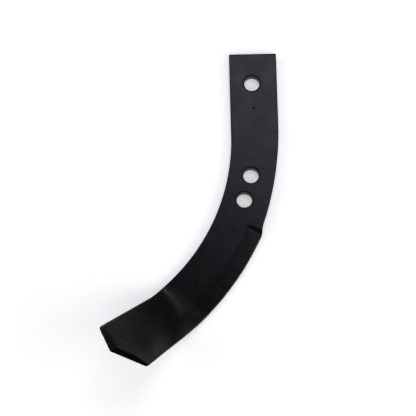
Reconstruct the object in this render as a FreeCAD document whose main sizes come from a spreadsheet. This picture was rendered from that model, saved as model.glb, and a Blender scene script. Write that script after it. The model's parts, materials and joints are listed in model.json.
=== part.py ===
import FreeCAD, Part
import math
import os
import Sketcher

# Rotary tiller blade: one flat steel bar, swept edgeways, forged to a cutting edge and folded up at the foot.
# The origin is the axis of the end bolt hole on the seating face. +Y runs to the mounting end and +Z is up.
# Lengths are in millimetres and angles in degrees.

SIZES = [
    ("bar_width", 40.0, "width of the flat bar at the mounting end"),
    ("bar_thickness", 8.0, "thickness of the bar"),
    ("end_margin", 26.5, "end hole axis to the cropped end"),
    ("inner_margin", 18.7, "end hole axis to the inner side of the bar"),
    ("bolt_diameter", 12.0, "bolt that holds the blade"),
    ("bolt_clearance", 1.0, "hole diameter less bolt diameter"),
    ("middle_down", 81.0, "end hole to middle hole, along the bar"),
    ("middle_across", 3.0, "end hole to middle hole, towards the inner side"),
    ("lower_down", 102.0, "end hole to lower hole, along the bar"),
    ("lower_across", 9.1, "end hole to lower hole, towards the inner side"),
    ("inner_straight", 46.0, "end hole to the start of the inner sweep, along the bar"),
    ("inner_radius", 170.5, "sweep of the inner side"),
    ("outer_straight", 36.0, "end hole to the start of the outer sweep, along the bar"),
    ("outer_radius", 257.0, "sweep of the outer side above the cutting edge"),
    ("cutting_down", 32.0, "end hole to the centre of the cutting edge, along the bar"),
    ("cutting_across", 209.8, "end hole to the centre of the cutting edge, across the bar"),
    ("cutting_radius", 236.7, "sweep of the cutting edge"),
    ("flank_angle", 19.9, "where the outer side leaves its sweep, below X"),
    ("shoulder_angle", 24.3, "shoulder where the forged bevel starts, below X"),
    ("shoulder_lead", 0.6, "angle from the shoulder to the full cutting radius"),
    ("bevel_width", 12.5, "width of the forged bevel"),
    ("edge_thickness", 4.0, "steel left at the cutting edge"),
    ("fold_angle", 46.6, "fold line, below X"),
    ("fold_reach", 28.0, "apex of the fold cone to the inner side, along the fold line"),
    ("fold_cone", 39.0, "half angle of the fold cone"),
    ("fold_turn", 69.5, "turn of the foot about the axis of the fold cone"),
    ("inner_flare", 5.1, "angle by which the inner side of the foot opens out"),
    ("outer_flare", 1.9, "angle by which the cutting edge of the foot closes in"),
    ("foot_blank", 84.0, "length of the foot before its tip is cropped"),
    ("end_cut_reach", 94.8, "apex of the fold cone to the end cut"),
    ("end_cut_angle", 31.6, "end cut, turned from the fold"),
    ("corner_cut_margin", 6.5, "cutting edge at the end of the fold to the corner cut"),
    ("corner_cut_angle", 91.2, "corner cut, turned from the fold"),
    ("inner_corner_radius", 1.5, "corner between the inner side and the end cut"),
    ("outer_corner_radius", 4.0, "corner between the corner cut and the cutting edge"),
    ("rim_radius", 0.6, "rounding of the punched rims on the upper face"),
]

FOLD_SECTIONS = 6

doc = FreeCAD.newDocument("RotaryTillerBlade")


def fill_sheet():
    """Write the driving dimensions as plain numbers, each under its own alias."""
    sheet = doc.addObject("Spreadsheet::Sheet", "Sizes")
    for row, (alias, value, note) in enumerate(SIZES, start=1):
        sheet.set(f"A{row}", note)
        sheet.set(f"B{row}", str(value))
        sheet.setAlias(f"B{row}", alias)
    doc.recompute()
    return sheet


sheet = fill_sheet()

# Points that several features share, as formulas of the sheet.
INNER_X = "(-Sizes.inner_margin)"
OUTER_X = "(Sizes.bar_width - Sizes.inner_margin)"
CUT_X = "(-Sizes.cutting_across)"
CUT_Y = "(-Sizes.cutting_down)"
INNER_CENTRE = (f"({INNER_X} - Sizes.inner_radius)", "(-Sizes.inner_straight)")
OUTER_CENTRE = (f"({OUTER_X} - Sizes.outer_radius)", "(-Sizes.outer_straight)")
FOLD_COS = "cos(Sizes.fold_angle)"
FOLD_SIN = "sin(Sizes.fold_angle)"

# Centre of the inner sweep seen from the centre of the cutting edge: along the fold line, and ahead of it.
SWEEP_ALONG = f"(({INNER_CENTRE[0]} - {CUT_X}) * {FOLD_COS} - ({INNER_CENTRE[1]} - {CUT_Y}) * {FOLD_SIN})"
SWEEP_AHEAD = f"(-({INNER_CENTRE[0]} - {CUT_X}) * {FOLD_SIN} - ({INNER_CENTRE[1]} - {CUT_Y}) * {FOLD_COS})"
FOLD_INNER = f"({SWEEP_ALONG} + sqrt(Sizes.inner_radius ^ 2 - {SWEEP_AHEAD} ^ 2))"
APEX = f"({FOLD_INNER} - Sizes.fold_reach)"


def value_of(formula):
    """Number that a formula of the sheet gives now."""
    return float(sheet.evalExpression(formula))


def polar(centre, radius, angle):
    """Point at a radius and an angle below X from a centre, as two formulas."""
    return (f"({centre[0]} + {radius} * cos({angle}))", f"({centre[1]} - {radius} * sin({angle}))")


def placed_sketch(body, name, offset):
    """Sketch on the body's XY plane, moved by a placement formula."""
    sketch = body.newObject("Sketcher::SketchObject", name)
    plane = next(item for item in body.Origin.OriginFeatures if item.Role == "XY_Plane")
    sketch.AttachmentSupport = [(plane, "")]
    sketch.MapMode = "FlatFace"
    if offset:
        sketch.setExpression("AttachmentOffset", offset)
    doc.recompute()
    return sketch


def bind(sketch, constraint, formula):
    """Add a dimension and drive it with a formula of the sheet."""
    index = sketch.addConstraint(constraint)
    sketch.setExpression(f"Constraints[{index}]", formula)


def draw(sketch, corners, arcs):
    """Closed outline through the corners; arcs maps an edge number to its centre and radius."""
    points = [FreeCAD.Vector(value_of(x), value_of(y), 0) for x, y in corners]
    ends = []
    for edge, (start, stop) in enumerate(zip(points, points[1:] + points[:1])):
        if edge in arcs:
            centre, radius = arcs[edge]
            ends.append(add_arc(sketch, start, stop, centre, radius))
        else:
            line = sketch.addGeometry(Part.LineSegment(start, stop))
            ends.append((line, 1, 2))
    for edge, (line, _, tail) in enumerate(ends):
        following, head, _ = ends[(edge + 1) % len(ends)]
        sketch.addConstraint(Sketcher.Constraint("Coincident", line, tail, following, head))
    for (line, head, _), (x, y), point in zip(ends, corners, points):
        bind(sketch, Sketcher.Constraint("DistanceX", -1, 1, line, head, point.x), x)
        bind(sketch, Sketcher.Constraint("DistanceY", -1, 1, line, head, point.y), y)


def add_arc(sketch, start, stop, centre, radius):
    """Arc of the shorter way round from start to stop; returns its index and which end comes first."""
    middle = FreeCAD.Vector(value_of(centre[0]), value_of(centre[1]), 0)
    size = value_of(radius)
    first = math.atan2(start.y - middle.y, start.x - middle.x)
    last = math.atan2(stop.y - middle.y, stop.x - middle.x)
    circle = Part.Circle(middle, FreeCAD.Vector(0, 0, 1), size)
    forward = first < last
    arc = sketch.addGeometry(Part.ArcOfCircle(circle, min(first, last), max(first, last)))
    bind(sketch, Sketcher.Constraint("Radius", arc, size), radius)
    return (arc, 1, 2) if forward else (arc, 2, 1)


def flat_plan(body):
    """Shank and arm, cropped square at the end and cut off along the fold line."""
    sketch = placed_sketch(body, "FlatPlan", None)
    cut_centre = (CUT_X, CUT_Y)
    corners = [
        (INNER_X, "Sizes.end_margin"),
        (INNER_X, "(-Sizes.inner_straight)"),
        polar(cut_centre, FOLD_INNER, "Sizes.fold_angle"),
        polar(cut_centre, "Sizes.cutting_radius", "Sizes.fold_angle"),
        polar(cut_centre, "Sizes.cutting_radius", "(Sizes.shoulder_angle + Sizes.shoulder_lead)"),
        polar(OUTER_CENTRE, "Sizes.outer_radius", "Sizes.flank_angle"),
        (OUTER_X, "(-Sizes.outer_straight)"),
        (OUTER_X, "Sizes.end_margin"),
    ]
    arcs = {
        1: (INNER_CENTRE, "Sizes.inner_radius"),
        3: (cut_centre, "Sizes.cutting_radius"),
        5: (OUTER_CENTRE, "Sizes.outer_radius"),
    }
    draw(sketch, corners, arcs)
    pad = body.newObject("PartDesign::Pad", "FlatPad")
    pad.Profile = sketch
    pad.setExpression("Length", "Sizes.bar_thickness")
    doc.recompute()
    return pad


def bolt_holes(body):
    """Three bolt holes through the flat bar."""
    sketch = placed_sketch(body, "HoleCentres", None)
    radius = "(Sizes.bolt_diameter + Sizes.bolt_clearance) / 2"
    centres = [
        ("0", "0"),
        ("(-Sizes.middle_across)", "(-Sizes.middle_down)"),
        ("(-Sizes.lower_across)", "(-Sizes.lower_down)"),
    ]
    for x, y in centres:
        centre = FreeCAD.Vector(value_of(x), value_of(y), 0)
        circle = sketch.addGeometry(Part.Circle(centre, FreeCAD.Vector(0, 0, 1), value_of(radius)))
        bind(sketch, Sketcher.Constraint("Radius", circle, value_of(radius)), radius)
        if x == "0":
            sketch.addConstraint(Sketcher.Constraint("Coincident", circle, 3, -1, 1))
            continue
        bind(sketch, Sketcher.Constraint("DistanceX", -1, 1, circle, 3, centre.x), x)
        bind(sketch, Sketcher.Constraint("DistanceY", -1, 1, circle, 3, centre.y), y)
    pocket = body.newObject("PartDesign::Pocket", "BoltHoles")
    pocket.Profile = sketch
    pocket.Type = "ThroughAll"
    pocket.Reversed = True
    doc.recompute()
    return pocket


def arm_bevel(body):
    """Forged bevel on the arm: turned about the centre of the cutting edge, from the shoulder to the fold."""
    offset = f"placement(vector({CUT_X}; {CUT_Y}; 0); rotation(-Sizes.shoulder_angle; 0; 90))"
    sketch = placed_sketch(body, "BevelSection", offset)
    over = "(Sizes.cutting_radius + Sizes.bar_thickness)"
    corners = [
        ("(Sizes.cutting_radius - Sizes.bevel_width)", "Sizes.bar_thickness"),
        ("Sizes.cutting_radius", "Sizes.edge_thickness"),
        (over, "Sizes.edge_thickness"),
        (over, "Sizes.bar_thickness"),
    ]
    draw(sketch, corners, {})
    groove = body.newObject("PartDesign::Groove", "ArmBevel")
    groove.Profile = sketch
    groove.ReferenceAxis = (sketch, ["V_Axis"])
    groove.Reversed = True
    groove.setExpression("Angle", "Sizes.fold_angle - Sizes.shoulder_angle")
    doc.recompute()
    return groove


def fold_offset(turned):
    """Placement formula of a section turned about the cone axis: X along the fold, Y out of the upper face."""
    apex = f"vector({CUT_X} + {APEX} * {FOLD_COS}; {CUT_Y} - {APEX} * {FOLD_SIN}; 0)"
    upright = "rotation(-Sizes.fold_angle; 0; 90)"
    axis = "vector(cos(Sizes.fold_cone); sin(Sizes.fold_cone); 0)"
    turn = f"rotation({axis}; -{turned} * Sizes.fold_turn)"
    return f"placement({apex}; {upright}) * placement(vector(0; 0; 0); {turn})"


def unrolled(turned):
    """Angle on the flat bar between the fold line and the line that a turned section lies on."""
    return f"({turned} * Sizes.fold_turn * sin(Sizes.fold_cone))"


def inner_reach(turned):
    """Apex to the inner side along a line of the fold: the inner sweep carried on."""
    angle = unrolled(turned)
    along = f"({SWEEP_ALONG} - {APEX})"
    beside = f"({along} * sin({angle}) - {SWEEP_AHEAD} * cos({angle}))"
    towards = f"({along} * cos({angle}) + {SWEEP_AHEAD} * sin({angle}))"
    return f"({towards} + sqrt(Sizes.inner_radius ^ 2 - {beside} ^ 2))"


def outer_reach(turned):
    """Apex to the cutting edge along a line of the fold: straight on from the arm, closing in a little."""
    angle = unrolled(turned)
    return f"((Sizes.cutting_radius - {APEX}) / (cos({angle}) + tan(Sizes.outer_flare) * sin({angle})))"


def blade_section(body, name, offset, inner, outer, slant):
    """Section across the blade: full thickness, with the bevel down to the cutting edge."""
    sketch = placed_sketch(body, name, offset)
    corners = [
        (inner, "0"),
        (outer, "0"),
        (outer, "Sizes.edge_thickness"),
        (f"({outer} - Sizes.bevel_width / cos({slant}))", "Sizes.bar_thickness"),
        (inner, "Sizes.bar_thickness"),
    ]
    draw(sketch, corners, {})
    return sketch


def fold(body):
    """Conical fold: sections turned about one axis through the apex, from the arm to the foot."""
    sections = []
    for number in range(FOLD_SECTIONS + 1):
        turned = f"({number} / {FOLD_SECTIONS})"
        inner, outer = inner_reach(turned), outer_reach(turned)
        name = f"FoldSection{number}"
        sections.append(blade_section(body, name, fold_offset(turned), inner, outer, unrolled(turned)))
    loft = body.newObject("PartDesign::AdditiveLoft", "Fold")
    loft.Profile = sections[0]
    loft.Sections = sections[1:]
    doc.recompute()
    return loft


def foot(body):
    """Flat foot from the last section of the fold to an uncropped end."""
    root = blade_section(body, "FootRoot", fold_offset("1"), inner_reach("1"), outer_reach("1"), unrolled("1"))
    offset = f"{fold_offset('1')} * placement(vector(0; 0; Sizes.foot_blank); rotation(0; 0; 0))"
    inner = f"({inner_reach('1')} + Sizes.foot_blank * tan({unrolled('1')} - Sizes.inner_flare))"
    outer = f"({outer_reach('1')} + Sizes.foot_blank * tan({unrolled('1')} - Sizes.outer_flare))"
    end = blade_section(body, "FootEnd", offset, inner, outer, unrolled("1"))
    loft = body.newObject("PartDesign::AdditiveLoft", "Foot")
    loft.Profile = root
    loft.Sections = [end]
    loft.Ruled = True
    doc.recompute()
    return loft


def tip_cut(body, name, reach, angle):
    """Crop the foot square to its face along a line at a reach and an angle from the apex."""
    offset = f"{fold_offset('1')} * placement(vector(0; 0; 0); rotation(0; {angle}; -90))"
    sketch = placed_sketch(body, f"{name}Line", offset)
    near = f"(-{reach})"
    far = f"(-{reach} - Sizes.foot_blank)"
    side = "(2 * Sizes.foot_blank)"
    draw(sketch, [(f"(-{side})", near), (side, near), (side, far), (f"(-{side})", far)], {})
    pocket = body.newObject("PartDesign::Pocket", name)
    pocket.Profile = sketch
    pocket.Midplane = True
    pocket.setExpression("Length", "4 * Sizes.bar_thickness")
    doc.recompute()
    return pocket


def named_edges(shape, wanted):
    """Names of the edges of a shape that pass a test."""
    return [f"Edge{number}" for number, edge in enumerate(shape.Edges, start=1) if wanted(edge)]


def rounded(body, name, wanted, radius):
    """Fillet on the edges of the body that pass a test."""
    base = body.Tip
    fillet = body.newObject("PartDesign::Fillet", name)
    fillet.Base = (base, named_edges(base.Shape, wanted))
    fillet.setExpression("Radius", radius)
    doc.recompute()
    return fillet


def round_rims(body):
    """Punch rollover: the hole rims on the upper face are rounded."""
    top = value_of("Sizes.bar_thickness")

    def on_rim(edge):
        full_circle = edge.Curve.TypeId == "Part::GeomCircle" and edge.isClosed()
        return full_circle and abs(edge.CenterOfMass.z - top) < 0.01

    return rounded(body, "HoleRims", on_rim, "Sizes.rim_radius")


def round_tip_corner(body, name, short, radius):
    """Round one corner of the cropped tip: the inner one, or the short one at the cutting edge."""
    frame = doc.getObject(f"FoldSection{FOLD_SECTIONS}").Placement.inverse()
    thin = value_of("(Sizes.bar_thickness + Sizes.edge_thickness) / 2")

    def corner_place(edge):
        start, stop = (frame.multVec(vertex.Point) for vertex in (edge.Vertexes[0], edge.Vertexes[-1]))
        rise = (stop - start).y
        square = abs(abs(rise) - edge.Length) < 0.001 and edge.Length > 0.1
        ahead_of_fold = start.z > 0.001
        return start if square and ahead_of_fold else None

    found = [(corner_place(edge), edge) for edge in body.Tip.Shape.Edges]
    corners = [(place, edge) for place, edge in found if place and (edge.Length < thin) == short]
    chosen = min(corners, key=lambda item: item[0].x)[1]
    return rounded(body, name, chosen.isSame, radius)


def report(step, feature):
    """Print the state and the volume of the body after a feature."""
    shape = feature.Shape
    print(f"{step}: {feature.State} valid {shape.isValid()} volume {shape.Volume:.1f} solids {len(shape.Solids)}")


def build():
    """The blade as one body."""
    body = doc.addObject("PartDesign::Body", "tiller_blade")
    body.Label = "tiller_blade"
    report("flat pad", flat_plan(body))
    report("holes", bolt_holes(body))
    report("arm bevel", arm_bevel(body))
    report("fold", fold(body))
    report("foot", foot(body))
    report("end cut", tip_cut(body, "EndCut", "Sizes.end_cut_reach", "Sizes.end_cut_angle"))
    corner_reach = f"({outer_reach('1')} + Sizes.corner_cut_margin)"
    report("corner cut", tip_cut(body, "CornerCut", corner_reach, "Sizes.corner_cut_angle"))
    report("inner corner", round_tip_corner(body, "InnerCorner", False, "Sizes.inner_corner_radius"))
    report("outer corner", round_tip_corner(body, "OuterCorner", True, "Sizes.outer_corner_radius"))
    report("hole rims", round_rims(body))
    return body


def check_and_export(body):
    """Refuse anything broken, then write the part."""
    for item in doc.Objects:
        if "Invalid" in item.State or "Error" in item.State:
            raise RuntimeError(f"{item.Name} is {item.State}")
    shape = body.Shape
    if shape.isNull() or not shape.isValid() or len(shape.Solids) != 1:
        raise RuntimeError(f"{body.Label} is not one valid solid")
    os.makedirs("parts", exist_ok=True)
    shape.exportStep(f"parts/{body.Label}.step")
    box = shape.optimalBoundingBox(False)
    print(f"{body.Label}: {box.XLength:.1f} x {box.YLength:.1f} x {box.ZLength:.1f} mm, z from {box.ZMin:.3f}")
    print(f"volume {shape.Volume / 1000:.2f} cm3, mass {shape.Volume * 7.85e-6:.3f} kg")


check_and_export(build())
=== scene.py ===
# %% [markdown]
# # A rotary tiller blade in satin black paint
#
# The real blade is one flat steel bar. It is cropped to length and punched with three bolt holes.
# It is then forged to a cutting edge along one side, and its foot is folded up while it is red hot.
# The exact solid is already packed, so this lesson only adds what forging and painting do to it:
# soft edges, an uneven skin, a few knocks, and the paint itself.

import json
import math

import bmesh
import bpy
from mathutils import Matrix, Vector, noise
from mathutils.bvhtree import BVHTree
from mathutils.kdtree import KDTree


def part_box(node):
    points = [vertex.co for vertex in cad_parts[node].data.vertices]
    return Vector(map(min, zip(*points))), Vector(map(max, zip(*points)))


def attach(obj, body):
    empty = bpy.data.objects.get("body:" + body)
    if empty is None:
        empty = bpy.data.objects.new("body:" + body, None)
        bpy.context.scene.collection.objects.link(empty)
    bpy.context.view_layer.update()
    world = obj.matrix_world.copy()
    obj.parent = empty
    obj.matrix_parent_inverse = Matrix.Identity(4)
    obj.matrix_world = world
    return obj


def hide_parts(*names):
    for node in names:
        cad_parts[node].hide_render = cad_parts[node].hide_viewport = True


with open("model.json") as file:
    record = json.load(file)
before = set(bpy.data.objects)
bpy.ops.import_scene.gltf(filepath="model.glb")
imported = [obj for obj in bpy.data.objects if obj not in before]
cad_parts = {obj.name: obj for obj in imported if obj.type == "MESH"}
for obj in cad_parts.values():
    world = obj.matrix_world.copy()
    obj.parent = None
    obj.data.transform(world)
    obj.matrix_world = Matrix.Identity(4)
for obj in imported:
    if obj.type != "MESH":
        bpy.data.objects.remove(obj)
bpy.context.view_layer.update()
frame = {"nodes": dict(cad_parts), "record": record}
solid = frame["nodes"]["tiller_blade"]
MM = 0.001
low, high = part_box("tiller_blade")
print("blade size in mm:", [round((b - a) / MM, 1) for a, b in zip(low, high)])

# %% [markdown]
# ## Landmarks
#
# A blacksmith measures from the bolt holes, and so does this lesson. The record of the part says
# where the holes are, so that every mark stays in its place on the blade when the part changes.

# %% Find the bolt holes
mounts = {mount["name"]: mount for mount in frame["record"]["mounts"]}


def hole_centre(name):
    """Middle of a bolt hole on the seating face."""
    return Vector(mounts[name]["pos_m"])


END_HOLE = hole_centre("end_hole")
LOWER_HOLE = hole_centre("lower_hole")
HOLES = [hole_centre(name) for name in mounts if name.endswith("hole")]


def from_hole(place):
    """Distance in plan to the nearest bolt hole."""
    return min(math.hypot(place.x - hole.x, place.y - hole.y) for hole in HOLES)


print("bolt holes:", len(HOLES), "end hole at", tuple(END_HOLE))

# %% [markdown]
# ## A copy of the solid that can be worked
#
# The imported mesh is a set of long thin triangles. That is fine for measuring and poor for shaping.
# Its doubled points are joined and its flat faces made whole again before anything else is done,
# because a bevel only works on clean edges.

# %% Copy and clean the solid
def copy_of_solid(name):
    """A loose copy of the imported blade, with joined points and whole flat faces."""
    mesh = solid.data.copy()
    mesh.materials.clear()
    copy = bpy.data.objects.new(name, mesh)
    bpy.context.scene.collection.objects.link(copy)
    work = bmesh.new()
    work.from_mesh(mesh)
    bmesh.ops.remove_doubles(work, verts=work.verts, dist=0.002 * MM)
    bmesh.ops.dissolve_limit(work, angle_limit=math.radians(0.4), verts=work.verts, edges=work.edges)
    work.to_mesh(mesh)
    work.free()
    return copy


guide = copy_of_solid("guide")
print("clean faces:", len(guide.data.polygons))

# %% [markdown]
# ## Which edges are hard and which are soft
#
# The saw and the shears leave hard edges. The hammer leaves a soft crease where its bevel meets
# the flat of the bar. The angle between two faces tells them apart, so both kinds are read from
# the solid and kept as clouds of points that can be asked how far away they are.

# %% Read the edges of the solid
SOFT_CREASE = math.radians(8)
HARD_EDGE = math.radians(28)
SAMPLE_STEP = 0.5 * MM


def points_along(edges):
    """Points every half millimetre along some edges."""
    points = []
    for edge in edges:
        start, stop = (vertex.co.copy() for vertex in edge.verts)
        count = max(1, round((stop - start).length / SAMPLE_STEP))
        points += [start.lerp(stop, step / count) for step in range(count + 1)]
    return points


def point_cloud(points):
    """A cloud that finds its nearest point quickly."""
    cloud = KDTree(len(points))
    for number, point in enumerate(points):
        cloud.insert(point, number)
    cloud.balance()
    return cloud


def read_edges(mesh):
    """Points on the soft creases and on the hard edges of a mesh."""
    work = bmesh.new()
    work.from_mesh(mesh)
    folded = [(edge, edge.calc_face_angle(0.0)) for edge in work.edges]
    creases = points_along(edge for edge, angle in folded if SOFT_CREASE < angle < HARD_EDGE)
    hards = points_along(edge for edge, angle in folded if angle >= HARD_EDGE)
    work.free()
    return creases, hards


crease_points, hard_points = read_edges(guide.data)
crease_points = [point for point in crease_points if from_hole(point) > 10 * MM]
creases = point_cloud(crease_points)
hard_edges = point_cloud(hard_points)
print("crease points:", len(crease_points), "hard edge points:", len(hard_points))

# %% [markdown]
# ## Edges that have been dipped in paint
#
# No painted edge is razor sharp. A bevel modifier with a few segments rounds every hard edge by
# about half a millimetre. The thin bright lines along the sides of the bar come from this rounding,
# together with a painted highlight that the paint's sheen gets along the edges further on.

# %% Round the hard edges
EDGE_ROUND = 0.6 * MM


def apply_modifiers(piece):
    """Bake the modifiers of a piece into its mesh."""
    graph = bpy.context.evaluated_depsgraph_get()
    baked = bpy.data.meshes.new_from_object(piece.evaluated_get(graph))
    piece.modifiers.clear()
    piece.data = baked


soften = guide.modifiers.new("soften", "BEVEL")
soften.width = EDGE_ROUND
soften.segments = 3
soften.limit_method = "ANGLE"
soften.angle_limit = HARD_EDGE
apply_modifiers(guide)
print("guide faces:", len(guide.data.polygons))

# %% [markdown]
# ## An even skin
#
# Knocks and waves need points everywhere, not only at the corners. A voxel remesh gives a net of
# small even squares, and a shrinkwrap then pulls that net back onto the guide, so that the exact
# shape is kept and only the layout of the faces is new.

# %% Lay an even net over the guide
NET_SIZE = 0.64 * MM

blade = bpy.data.objects.new("blade", guide.data.copy())
bpy.context.scene.collection.objects.link(blade)
net = blade.modifiers.new("net", "REMESH")
net.mode = "VOXEL"
net.voxel_size = NET_SIZE
hug = blade.modifiers.new("hug", "SHRINKWRAP")
hug.target = guide
hug.wrap_method = "NEAREST_SURFACEPOINT"
apply_modifiers(blade)
print("net points:", len(blade.data.vertices), "faces:", len(blade.data.polygons))

# %% [markdown]
# ## The soft crease of the hammer
#
# The bevel of the cutting edge was hammered, not milled, so it flows into the flat over several
# millimetres. A smooth modifier does that when a vertex group tells it where to work: fully on
# the crease, fading out on both sides, and not at all on the hard edges.

# %% Ease the crease
CREASE_REACH = 7.0 * MM
HARD_GUARD = 2.2 * MM
CREASE_ROUNDS = 130


def soft_step(value, start, stop):
    """0 before start, 1 after stop, and smooth between."""
    share = min(max((value - start) / (stop - start), 0.0), 1.0)
    return share * share * (3.0 - 2.0 * share)


def hump(distance, reach):
    """1 in the middle, falling smoothly to 0 at its reach."""
    return 1.0 - soft_step(distance, 0.0, reach)


def ease_crease(piece):
    """Smooth the net near the soft creases only."""
    group = piece.vertex_groups.new(name="crease")
    for vertex in piece.data.vertices:
        to_crease = creases.find(vertex.co)[2]
        if to_crease < CREASE_REACH:
            guard = soft_step(hard_edges.find(vertex.co)[2], 0.6 * MM, HARD_GUARD)
            group.add([vertex.index], hump(to_crease, CREASE_REACH) * guard, "REPLACE")
    ease = piece.modifiers.new("ease", "SMOOTH")
    ease.vertex_group = "crease"
    ease.factor = 0.5
    ease.iterations = CREASE_ROUNDS
    apply_modifiers(piece)


ease_crease(blade)
print("crease eased")

# %% [markdown]
# ## Worn corners
#
# Corners are the first thing to wear. The two at the mounting end rub on their neighbours in the
# crate, and the one at the tip of the foot is rounded by the shears. The same smoothing does this,
# held to a few millimetres around each corner. On the left its middle lies just outside the bar.

# %% Wear the corners
END_WEAR_REACH = 4.4 * MM
TIP_WEAR_REACH = 5.0 * MM
WEAR_ROUNDS = 12

end_points = [point for point in hard_points if point.y > high.y - 0.1 * MM]
end_side = max(point.x for point in end_points)
end_top = max(point.z for point in end_points)


def worn_corners():
    """Middle and reach of each worn corner."""
    middle = (low.z + end_top) / 2
    ends = [Vector((side * end_side, high.y, middle)) for side in (-1, 1)]
    tip = min(hard_points, key=lambda point: point.x)
    return [(end, END_WEAR_REACH) for end in ends] + [(tip, TIP_WEAR_REACH)]


def wear_corners(piece, corners):
    """Smooth the net around the worn corners only."""
    group = piece.vertex_groups.new(name="worn")
    for vertex in piece.data.vertices:
        for corner, reach in corners:
            distance = (vertex.co - corner).length
            if distance < reach:
                group.add([vertex.index], 1.0 - soft_step(distance, 0.6 * reach, reach), "REPLACE")
    wear = piece.modifiers.new("wear", "SMOOTH")
    wear.vertex_group = "worn"
    wear.factor = 0.5
    wear.iterations = WEAR_ROUNDS
    apply_modifiers(piece)


wear_corners(blade, worn_corners())
print("worn corners:", [tuple(round(c / MM, 1) for c in corner) for corner, reach in worn_corners()])

# %% [markdown]
# ## Where a point lies on the blade
#
# The cutting edge is one long sweep. Two numbers place a point on it: how far out from the middle
# of the sweep it lies, and how far along the sweep it has come. Waves and ripples that follow the
# blade are easy to write in those two numbers. The sizes below are those of the part's own source,
# so they are changed by hand together with it.

# %% Coordinates that follow the sweep
SWEEP_CENTRE = END_HOLE + Vector((-209.8, -32.0, 0.0)) * MM
EDGE_RADIUS = 236.7 * MM
BEVEL_WIDTH = 12.5 * MM
STEP_ALONG = math.radians(24.3) * EDGE_RADIUS
FOLD_ALONG = math.radians(46.6) * EDGE_RADIUS


def sweep_place(place):
    """Distance along the sweep and distance in from the cutting edge."""
    arm = place - SWEEP_CENTRE
    along = math.atan2(-arm.y, arm.x) * EDGE_RADIUS
    inward = EDGE_RADIUS - math.hypot(arm.x, arm.y)
    return along, inward


def forged_share(along):
    """0 on the stock bar by the bolt holes, 1 where the hammer has drawn the arm and foot."""
    return soft_step(along, 0.75 * STEP_ALONG, 1.3 * STEP_ALONG)


print("step at", round(STEP_ALONG / MM, 1), "mm and fold at", round(FOLD_ALONG / MM, 1), "mm along the sweep")

# %% [markdown]
# ## Knocks and painted glints
#
# A blade that has lain in a crate carries small dents. Small painted glints sit by some of them, as
# bright marks of sheen where light catches a knock. Each is a place, a reach and a strength, which
# is the depth in millimetres for a dent. The place is measured from a bolt hole in plan, and a ray
# dropped from above finds the height of the surface there, so that every mark lands on the steel.

# %% Place the marks
def mark(hole, across, down, reach, strength):
    """A mark measured in millimetres from a hole, dropped onto the surface."""
    above = hole + Vector((across, -down, 0.0)) * MM
    above.z = high.z + 10 * MM
    hit = surface.ray_cast(above, Vector((0.0, 0.0, -1.0)))[0]
    return (hit or above, reach * MM, strength)


graph = bpy.context.evaluated_depsgraph_get()
surface = BVHTree.FromObject(guide, graph)
dents = [
    mark(END_HOLE, 1.0, 22.0, 1.4, 0.50),
    mark(LOWER_HOLE, -20.5, 74.8, 2.8, 0.12),
    mark(LOWER_HOLE, -23.5, 82.0, 2.6, 0.12),
    mark(LOWER_HOLE, -26.5, 89.8, 2.8, 0.12),
    mark(LOWER_HOLE, -62.8, 112.5, 1.9, 0.16),
]
# Painted glints: small bright marks of sheen where light catches a knock.
painted_glints = [
    mark(LOWER_HOLE, -37.5, 64.5, 1.5, 0.4),
    mark(LOWER_HOLE, -34.8, 68.8, 1.5, 0.4),
    mark(LOWER_HOLE, -32.2, 63.9, 1.5, 0.4),
    mark(LOWER_HOLE, -66.6, 102.3, 1.3, 0.9),
    mark(LOWER_HOLE, -64.9, 103.4, 1.3, 0.9),
    mark(LOWER_HOLE, -63.9, 105.6, 1.3, 0.9),
    mark(LOWER_HOLE, -62.8, 112.5, 1.7, 0.7),
    mark(LOWER_HOLE, -61.4, 115.0, 1.3, 0.5),
    mark(LOWER_HOLE, -101.0, 128.0, 1.5, 0.5),
    mark(LOWER_HOLE, -97.5, 129.5, 1.5, 0.5),
    mark(LOWER_HOLE, -88.0, 112.0, 1.2, 0.3),
]
print("dents:", len(dents), "scuffs:", len(painted_glints))

# %% [markdown]
# ## Hammer waves
#
# Smooth noise at two sizes gives the skin of a forging: broad waves a few centimetres across, and
# a finer pebble. Across the bevel the blows follow one another, so the noise there is stretched
# into ripples. All of it only takes steel away, so the blade never outgrows the solid.

# %% How deep the skin lies below the solid
BROAD = 24 * MM
FINE = 5 * MM
RIPPLE = 3.6 * MM
RIPPLE_DEPTH = 0.24 * MM
GROOVE_DEPTH = 0.45 * MM
GROOVE_REACH = 4.0 * MM
ROLL_DEPTH = 0.45 * MM
ROLL_REACH = 7.0 * MM
FACES_UP = 0.2


def on_foot_edge(point):
    """True for hard edge points on the inner side of the foot."""
    along, inward = sweep_place(point)
    return along > FOLD_ALONG + 4 * MM and inward > 27 * MM


def on_foot_blade(point):
    """True for hard edge points on the cutting side of the foot."""
    along, inward = sweep_place(point)
    return along > FOLD_ALONG - 8 * MM and inward < 8 * MM


foot_edge = point_cloud([point for point in hard_points if on_foot_edge(point)])
foot_blade = point_cloud([point for point in hard_points if on_foot_blade(point)])


def between(noise_value):
    """Noise brought from -1..1 to 0..1."""
    return 0.5 + 0.5 * noise_value


def wave_depth(place, along):
    """Broad hammer waves and a fine pebble."""
    share = forged_share(along)
    broad = between(noise.noise(place / BROAD))
    fine = between(noise.noise(place / FINE + Vector((7.0, 3.0, 1.0))))
    return (0.02 + 0.16 * share) * MM * broad + (0.008 + 0.030 * share) * MM * fine


def ripple_depth(along, inward):
    """Ripples of the hammer across the bevel of the arm."""
    on_bevel = soft_step(BEVEL_WIDTH + 4 * MM - inward, 0.0, 8 * MM)
    on_arm = soft_step(along, STEP_ALONG + 4 * MM, STEP_ALONG + 14 * MM)
    before_fold = 1.0 - soft_step(along, FOLD_ALONG - 10 * MM, FOLD_ALONG + 15 * MM)
    blows = between(noise.noise(Vector((along / RIPPLE, inward / (14 * MM), 5.0))))
    return RIPPLE_DEPTH * on_bevel * on_arm * before_fold * blows


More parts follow.
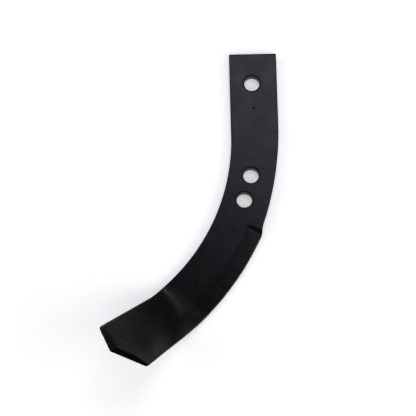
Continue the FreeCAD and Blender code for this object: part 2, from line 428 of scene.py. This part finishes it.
def step_depth(place, along, inward):
    """Groove that the hammer leaves on the bevel at the foot of the step."""
    past = along - STEP_ALONG
    if place.z < 2.0 * MM or not 0.0 < past < GROOVE_REACH or inward > BEVEL_WIDTH:
        return 0.0
    return GROOVE_DEPTH * hump(past, GROOVE_REACH) * (1.0 - inward / BEVEL_WIDTH)


def roll_depth(place, way_up):
    """The inner edge of the foot is rolled over by the folding tool."""
    if way_up < FACES_UP:
        return 0.0
    return ROLL_DEPTH * hump(foot_edge.find(place)[2], ROLL_REACH)


def dent_depth(place):
    """All the knocks that reach a point."""
    depth = 0.0
    for centre, reach, strength in dents:
        distance = (place - centre).length
        if distance < reach:
            depth += strength * MM * hump(distance, reach)
    return depth


def skin_depth(place, way_up):
    """How far the painted skin lies below the exact solid."""
    along, inward = sweep_place(place)
    depth = wave_depth(place, along) + dent_depth(place) + roll_depth(place, way_up)
    return depth + ripple_depth(along, inward) + step_depth(place, along, inward)


# %% [markdown]
# ## Pressing the skin in
#
# A hammer can only push metal in. So every point of the net moves inward along its own normal, by
# the depth that the waves, ripples, marks and rolled border ask for at its place.

# %% Press the skin into the net
def press_skin(piece):
    """Move every point of the net in along its normal."""
    vertices = piece.data.vertices
    inward_ways = [-vertex.normal.copy() for vertex in vertices]
    for vertex, way in zip(vertices, inward_ways):
        vertex.co = vertex.co + way * skin_depth(vertex.co, -way.z)
    piece.data.update()
    piece.data.polygons.foreach_set("use_smooth", [True] * len(piece.data.polygons))


press_skin(blade)
print("skin pressed in over", len(blade.data.vertices), "points")

# %% [markdown]
# ## Painted sheen
#
# The sheen of the paint is painted point by point. It is highest on the shank, falls along the arm
# to the foot and dips again just past the fold, which is painted shade where those parts lie darker
# under the lamps. Painted highlights add to it along the long edges, just below the step, along the
# start of the fold, on the inner border and by the cutting edge of the foot, and at a few small
# knocks. Painted shade takes it away in the step, in a ring by each bolt hole and on the foot past
# the fold. A little noise makes it uneven. Every point of the net gets one number for this, which
# the paint reads.

# %% Store the painted sheen on the net
SHANK_SHEEN = 0.165
SHADED_FOOT_SHEEN = 0.062
HIGHLIGHT_SHEEN = 0.25
def clear_of_holes(place):
    """0 by the rim of a bolt hole and 1 away from it."""
    return soft_step(from_hole(place), 8.5 * MM, 10.5 * MM)


def fold_highlight(place):
    """A painted highlight: a soft line of sheen along the start of the fold."""
    start, stop = fold_line
    share = (place - start).dot(stop - start) / (stop - start).length_squared
    nearest = start.lerp(stop, min(max(share, 0.0), 1.0))
    return hump((place - nearest).length, 7.0 * MM)


def painted_highlight_share(place, along, inward, way_up):
    """How much painted highlight the sheen gets, 0 to 1."""
    patchy = soft_step(between(noise.noise(place / (3.0 * MM))), 0.3, 0.7)
    off_step = soft_step(abs(along - STEP_ALONG), 3.0 * MM, 5.0 * MM)
    # Painted highlight along the hard edges, held away from the bolt holes and the step.
    edge = 0.6 * hump(hard_edges.find(place)[2], 1.3 * MM) * clear_of_holes(place) * off_step
    # Painted highlight on the inner border of the foot, over its rolled edge.
    inner_band_highlight = 0.36 * hump(foot_edge.find(place)[2], 9.0 * MM) * (0.6 + 0.4 * patchy)
    by_blade = hump(foot_blade.find(place)[2], 10.0 * MM)
    # Painted highlight along the cutting edge of the foot.
    blade_band_highlight = 0.55 * by_blade * hump(abs(along - FOLD_ALONG - 26 * MM), 26 * MM)
    # Painted highlight just below the step.
    step_lip_highlight = 0.6 * hump(abs(along - STEP_ALONG - 3.4 * MM), 1.5 * MM) * (0.0 < inward < BEVEL_WIDTH)
    # Painted glints at a few small knocks.
    glints = sum(hump((place - centre).length, reach) * strength for centre, reach, strength in painted_glints)
    return min(edge + step_lip_highlight + glints + (inner_band_highlight + blade_band_highlight + 0.35 * fold_highlight(place)) * (way_up > FACES_UP), 1.0)


def painted_shade_share(place, along, inward):
    """How much painted shade takes the sheen away, 0 to 1."""
    # Painted shadow in the step, painted shade in a ring by each bolt hole and on the foot past the fold.
    step_shadow = hump(abs(along - STEP_ALONG - 0.9 * MM), 2.1 * MM) * (0.0 < inward + MM < BEVEL_WIDTH + 2 * MM)
    rim_shade = 0.6 * hump(abs(from_hole(place) - 7.2 * MM), 1.5 * MM)
    fold_shade = 0.62 * hump((place - fold_shade_middle).length, fold_shade_reach)
    return min(step_shadow + rim_shade + fold_shade, 1.0)


def painted_sheen_at(place, way_up):
    """Sheen of the paint at a point of the net, with its painted shade and painted highlights."""
    along, inward = sweep_place(place)
    # Painted shade: the sheen falls from the shank towards the foot, and dips again just past the fold.
    foot_shade = soft_step(along, 0.55 * STEP_ALONG, 1.12 * FOLD_ALONG)
    level = SHANK_SHEEN + (SHADED_FOOT_SHEEN - SHANK_SHEEN) * foot_shade
    level *= 1.0 - 0.35 * hump(abs(along - FOLD_ALONG - 12 * MM), 15 * MM)
    level *= 1.0 + 0.18 * noise.noise(place / (1.1 * MM))
    level *= 1.0 - painted_shade_share(place, along, inward)
    return level + HIGHLIGHT_SHEEN * painted_highlight_share(place, along, inward, way_up)


fold_line = (mark(LOWER_HOLE, -64.0, 75.0, 0, 0)[0], mark(LOWER_HOLE, -39.0, 97.5, 0, 0)[0])
# Middle and reach of the painted shade on the foot past the fold.
fold_shade_middle, fold_shade_reach = mark(LOWER_HOLE, -84.0, 126.0, 24.0, 1.0)[:2]


def warm_tint_at(place):
    """How strong the painted warm tint is, 0 to 1, strongest just past the fold."""
    along = sweep_place(place)[0]
    cloudy = 0.6 + 0.4 * between(noise.noise(place / (9 * MM)))
    past_fold = 0.45 * soft_step(along, FOLD_ALONG - 6 * MM, FOLD_ALONG + 4 * MM)
    return min(past_fold + 0.55 * hump(abs(along - FOLD_ALONG - 12 * MM), 18 * MM) * cloudy, 1.0)


def store(piece, name, values):
    """Keep one number per point as an attribute of the mesh."""
    layer = piece.data.attributes.new(name, "FLOAT", "POINT")
    layer.data.foreach_set("value", values)
    print(name, "from", round(min(values), 3), "to", round(max(values), 3))


store(blade, "painted_sheen", [painted_sheen_at(vertex.co, vertex.normal.z) for vertex in blade.data.vertices])
store(blade, "warm_tint", [warm_tint_at(vertex.co) for vertex in blade.data.vertices])

# %% [markdown]
# ## Satin black paint
#
# Dipped black paint hides the colour of the steel and shows mostly as sheen. The base is close to
# black with a touch of blue, and the roughness wanders a little, since the scale under the paint
# breaks up its gloss. A fine grain in the normal gives the speckle that dust leaves in wet paint.

# %% Texture helpers for paint
def link(tree, source, output, target, socket):
    """Join two sockets, each given by name or by number."""
    tree.links.new(source.outputs[output], target.inputs[socket])


def noise_texture(tree, coordinates, scale, detail):
    """Procedural noise read from the object's own coordinates."""
    texture = tree.nodes.new("ShaderNodeTexNoise")
    texture.inputs["Scale"].default_value = scale
    texture.inputs["Detail"].default_value = detail
    link(tree, coordinates, "Object", texture, "Vector")
    return texture


def spread(tree, texture, low_value, high_value):
    """Stretch noise to the range that a socket wants."""
    stretch = tree.nodes.new("ShaderNodeMapRange")
    stretch.inputs["From Min"].default_value = 0.3
    stretch.inputs["From Max"].default_value = 0.7
    stretch.inputs["To Min"].default_value = low_value
    stretch.inputs["To Max"].default_value = high_value
    link(tree, texture, "Fac", stretch, "Value")
    return stretch


# %% [markdown]
# ## Mixing the paint
#
# One recipe makes both paints: two shades that noise mixes, a range of roughness and a grain. The
# satin one reads its sheen and a brown tint from the numbers stored on the net: the sheen holds
# painted highlights and painted shade, and the brown tint is a painted warm reflection on the foot.
# The other one has next to no sheen and paints shade.

# %% Mix the paint
BLUE_BLACK = (0.0018, 0.0019, 0.0026, 1.0)
BLUE_BLACK_WORN = (0.0042, 0.0044, 0.0056, 1.0)
WARM_REFLECTION_BROWN = (0.0075, 0.0064, 0.0042, 1.0)
# Near-black shades of the paint that paints shade on the sheared face.
SHADE_BLACK = (0.0004, 0.0004, 0.0006, 1.0)
SHADE_BLACK_LIGHTER = (0.0009, 0.0009, 0.0011, 1.0)
SATIN_GLOSS = (0.27, 0.35)
DULL_GLOSS = (0.75, 0.85)
SHADE_SHEEN = 0.012
MIX_SHARE = 0
MIX_FIRST = 6
MIX_SECOND = 7
MIX_RESULT = 2


def black_paint(name, dark, light, gloss_range):
    """Black paint over forged steel, from two shades and a range of roughness."""
    paint = bpy.data.materials.new(name)
    paint.use_nodes = True
    tree = paint.node_tree
    coat = tree.nodes["Principled BSDF"]
    coordinates = tree.nodes.new("ShaderNodeTexCoord")
    patches = noise_texture(tree, coordinates, 90.0, 4.0)
    gloss = spread(tree, patches, *gloss_range)
    link(tree, gloss, "Result", coat, "Roughness")
    tints = noise_texture(tree, coordinates, 420.0, 5.0)
    shade = tree.nodes.new("ShaderNodeValToRGB")
    shade.color_ramp.elements[0].position = 0.35
    shade.color_ramp.elements[0].color = dark
    shade.color_ramp.elements[1].position = 0.70
    shade.color_ramp.elements[1].color = light
    link(tree, tints, "Fac", shade, "Fac")
    link(tree, shade, "Color", coat, "Base Color")
    speckle = noise_texture(tree, coordinates, 1500.0, 3.0)
    grain = tree.nodes.new("ShaderNodeBump")
    grain.inputs["Strength"].default_value = 0.6
    grain.inputs["Distance"].default_value = 0.06 * MM
    link(tree, speckle, "Fac", grain, "Height")
    link(tree, grain, "Normal", coat, "Normal")
    return paint


def net_number(tree, name):
    """A number stored on the points of the net."""
    reader = tree.nodes.new("ShaderNodeAttribute")
    reader.attribute_name = name
    return reader


def satin_paint():
    """Paint with the painted sheen and the painted warm tint that are stored on the net."""
    paint = black_paint("satin_black_paint", BLUE_BLACK, BLUE_BLACK_WORN, SATIN_GLOSS)
    tree = paint.node_tree
    coat = tree.nodes["Principled BSDF"]
    link(tree, net_number(tree, "painted_sheen"), "Fac", coat, "Specular IOR Level")
    # The brown mixed into the base colour is a painted warm reflection on the foot.
    warm_tinted = tree.nodes.new("ShaderNodeMix")
    warm_tinted.data_type = "RGBA"
    warm_tinted.inputs[MIX_SECOND].default_value = WARM_REFLECTION_BROWN
    link(tree, net_number(tree, "warm_tint"), "Fac", warm_tinted, MIX_SHARE)
    link(tree, tree.nodes["Color Ramp"], "Color", warm_tinted, MIX_FIRST)
    link(tree, warm_tinted, MIX_RESULT, coat, "Base Color")
    return paint


def painted_shade_paint():
    """Near-black paint with hardly any sheen, for painted shade."""
    paint = black_paint("painted_shade_black_paint", SHADE_BLACK, SHADE_BLACK_LIGHTER, DULL_GLOSS)
    coat = paint.node_tree.nodes["Principled BSDF"]
    coat.inputs["Specular IOR Level"].default_value = SHADE_SHEEN
    return paint


satin = satin_paint()
shade_black = painted_shade_paint()
blade.data.materials.append(satin)
blade.data.materials.append(shade_black)
print("paints:", [paint.name for paint in blade.data.materials])

# %% [markdown]
# ## Painted shade on the sheared face at the tip
#
# The last cut of the shears takes the corner off the foot. The paint on that face is near black
# with hardly any sheen: a painted shade, for the dark reflection of the foot's shadow on the table.
# The face is found by the way it looks: it is the largest one in the solid that faces down the blade.

# %% Paint shade onto the sheared corner
TORN_LEVEL = 0.7 * MM
TORN_TURN = 0.8
LOOKS_DOWN = -0.85


def sheared_face(mesh):
    """Middle and normal of the largest face that looks down the blade."""
    facing = [face for face in mesh.polygons if face.normal.y < LOOKS_DOWN and face.center.y < LOWER_HOLE.y]
    torn = max(facing, key=lambda face: face.area)
    return torn.center.copy(), torn.normal.copy()


def paint_shade_on_sheared(piece, middle, facing):
    """Give the painted-shade paint to the net faces that lie in the sheared face."""
    count = 0
    for face in piece.data.polygons:
        level = abs((face.center - middle).dot(facing))
        if level < TORN_LEVEL and face.normal.dot(facing) > TORN_TURN and face.center.y < LOWER_HOLE.y:
            face.material_index = 1
            count += 1
    return count


torn_middle, torn_facing = sheared_face(guide.data)
torn_count = paint_shade_on_sheared(blade, torn_middle, torn_facing)
print("sheared face looks along", tuple(round(c, 2) for c in torn_facing), "faces:", torn_count)
bpy.data.objects.remove(guide)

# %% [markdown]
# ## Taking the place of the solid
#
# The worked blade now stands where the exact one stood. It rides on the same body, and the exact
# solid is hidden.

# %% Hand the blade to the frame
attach(blade, "root")
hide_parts("tiller_blade")
print("blade rides on root")

# %% [markdown]
# ## White table
#
# The blade lies on a matt white table. Part of the white is the table's own colour under the
# lamps, so that the blade keeps its soft shadow and the holes look deep. The rest is a plain glow
# for the eye and for reflections, so that the table can be white without flooding the blade with
# light.

# %% Lay the table
TABLE_COLOUR = 0.82
TABLE_GLOW = 0.37
TABLE_SIZE = 6.0


def seen_rays(tree):
    """1 for rays that look at the table, 0 for light that bounces off it."""
    path = tree.nodes.new("ShaderNodeLightPath")
    total = None
    for ray in ("Is Camera Ray", "Is Glossy Ray", "Is Transmission Ray"):
        larger = tree.nodes.new("ShaderNodeMath")
        larger.operation = "MAXIMUM"
        larger.inputs[1].default_value = 0.0
        link(tree, path, ray, larger, 0)
        if total:
            link(tree, total, "Value", larger, 1)
        total = larger
    return total


def table_material():
    """Matt white, with a glow that only seen rays meet."""
    white = bpy.data.materials.new("white_table")
    white.use_nodes = True
    tree = white.node_tree
    top = tree.nodes["Principled BSDF"]
    top.inputs["Roughness"].default_value = 0.9
    top.inputs["Specular IOR Level"].default_value = 0.0
    top.inputs["Base Color"].default_value = (TABLE_COLOUR, TABLE_COLOUR, TABLE_COLOUR, 1.0)
    top.inputs["Emission Color"].default_value = (1.0, 1.0, 1.0, 1.0)
    glow = tree.nodes.new("ShaderNodeMath")
    glow.operation = "MULTIPLY"
    glow.inputs[1].default_value = TABLE_GLOW
    link(tree, seen_rays(tree), "Value", glow, 0)
    link(tree, glow, "Value", top, "Emission Strength")
    return white


def lay_table():
    """A large flat table just under the blade."""
    mesh = bpy.data.meshes.new("table")
    side = TABLE_SIZE / 2
    height = low.z - 0.05 * MM
    corners = [(-side, -side, height), (side, -side, height), (side, side, height), (-side, side, height)]
    mesh.from_pydata(corners, [], [(0, 1, 2, 3)])
    mesh.materials.append(table_material())
    table = bpy.data.objects.new("table", mesh)
    bpy.context.scene.collection.objects.link(table)
    return table


table = lay_table()
print("table laid at", round(low.z, 4))

# %% [markdown]
# ## Room light and soft lamps
#
# Black paint has almost no colour of its own, so the lamps are really painted as reflections. A
# long strip softbox hangs close above, slanting from behind the mounting end towards the cutting
# edge: its reflection fills the shank, fades along the arm and catches the start of the fold.
# Large lamps on both sides and in front light the table and thin out the shadow, from places that
# the flat of the blade doesn't mirror. Two small dim lamps pick out the bevel and the start of the
# fold. The room itself stays dim.

# %% Fill the room and hang the lamps
world = bpy.data.worlds.new("room")
bpy.context.scene.world = world
world.use_nodes = True
room = world.node_tree.nodes["Background"]
room.inputs["Color"].default_value = (0.92, 0.96, 1.0, 1.0)
room.inputs["Strength"].default_value = 0.10
MIDDLE = (low + high) / 2


def soft_lamp(name, place, target, lengthways, size, watts, colour):
    """A soft rectangular lamp that looks at a target, with its long side turned lengthways."""
    light = bpy.data.lights.new(name, "AREA")
    light.shape = "RECTANGLE"
    light.size = size[0]
    light.size_y = size[1]
    light.energy = watts
    light.color = colour
    lamp = bpy.data.objects.new(name, light)
    back = (Vector(place) - Vector(target)).normalized()
    side = Vector(lengthways)
    side = (side - back * side.dot(back)).normalized()
    axes = Matrix((side, back.cross(side), back)).transposed().to_4x4()
    lamp.matrix_world = Matrix.Translation(place) @ axes
    bpy.context.scene.collection.objects.link(lamp)
    return lamp


ACROSS = (1.0, 0.0, 0.0)
DOWN = (0.0, 1.0, 0.0)
SLANT = (0.766, -0.643, 0.0)
COOL = (0.86, 0.92, 1.0)
WHITE = (1.0, 1.0, 1.0)
ARM = (-0.04, -0.15, 0.0)
soft_lamp("strip_softbox", (0.040, 0.310, 0.82), (0.0, 0.0, 0.0), SLANT, (0.66, 0.20), 2.4, COOL)
soft_lamp("edge_light", (0.45, -0.16, 0.82), ARM, SLANT, (0.30, 0.10), 0.17, COOL)
soft_lamp("fold_light", (0.02, -0.03, 0.82), ARM, SLANT, (0.14, 0.14), 0.060, COOL)
soft_lamp("front_fill", (0.0, -1.9, 1.9), MIDDLE, ACROSS, (2.2, 1.4), 21.0, WHITE)
soft_lamp("left_fill", (-2.1, 0.1, 1.5), MIDDLE, DOWN, (1.8, 1.4), 21.0, WHITE)
soft_lamp("right_fill", (2.0, -0.9, 1.5), MIDDLE, DOWN, (1.8, 1.4), 22.0, WHITE)
print("lamps:", [light.name for light in bpy.data.lights])

# %% [markdown]
# ## The camera
#
# A long lens high above the blade, tipped a little towards the foot, keeps the outline free of
# perspective swelling.

# %% Set the camera
TILT = math.radians(15.5)
ROLL = math.radians(-1.3)
SENSOR = 36.0
LENS = 163.44
EYE_FROM_HOLE = Vector((-48.98, -527.06, 1517.72)) * MM
camera_data = bpy.data.cameras.new("camera")
camera_data.sensor_width = SENSOR
camera_data.lens = LENS
camera = bpy.data.objects.new("camera", camera_data)
turned = Matrix.Rotation(ROLL, 4, "Z") @ Matrix.Rotation(TILT, 4, "X")
eye = END_HOLE + EYE_FROM_HOLE
camera.matrix_world = Matrix.Translation(eye) @ turned
bpy.context.scene.collection.objects.link(camera)
bpy.context.scene.camera = camera
bpy.context.scene.view_settings.view_transform = "Standard"
print("camera at", tuple(round(c, 3) for c in eye))
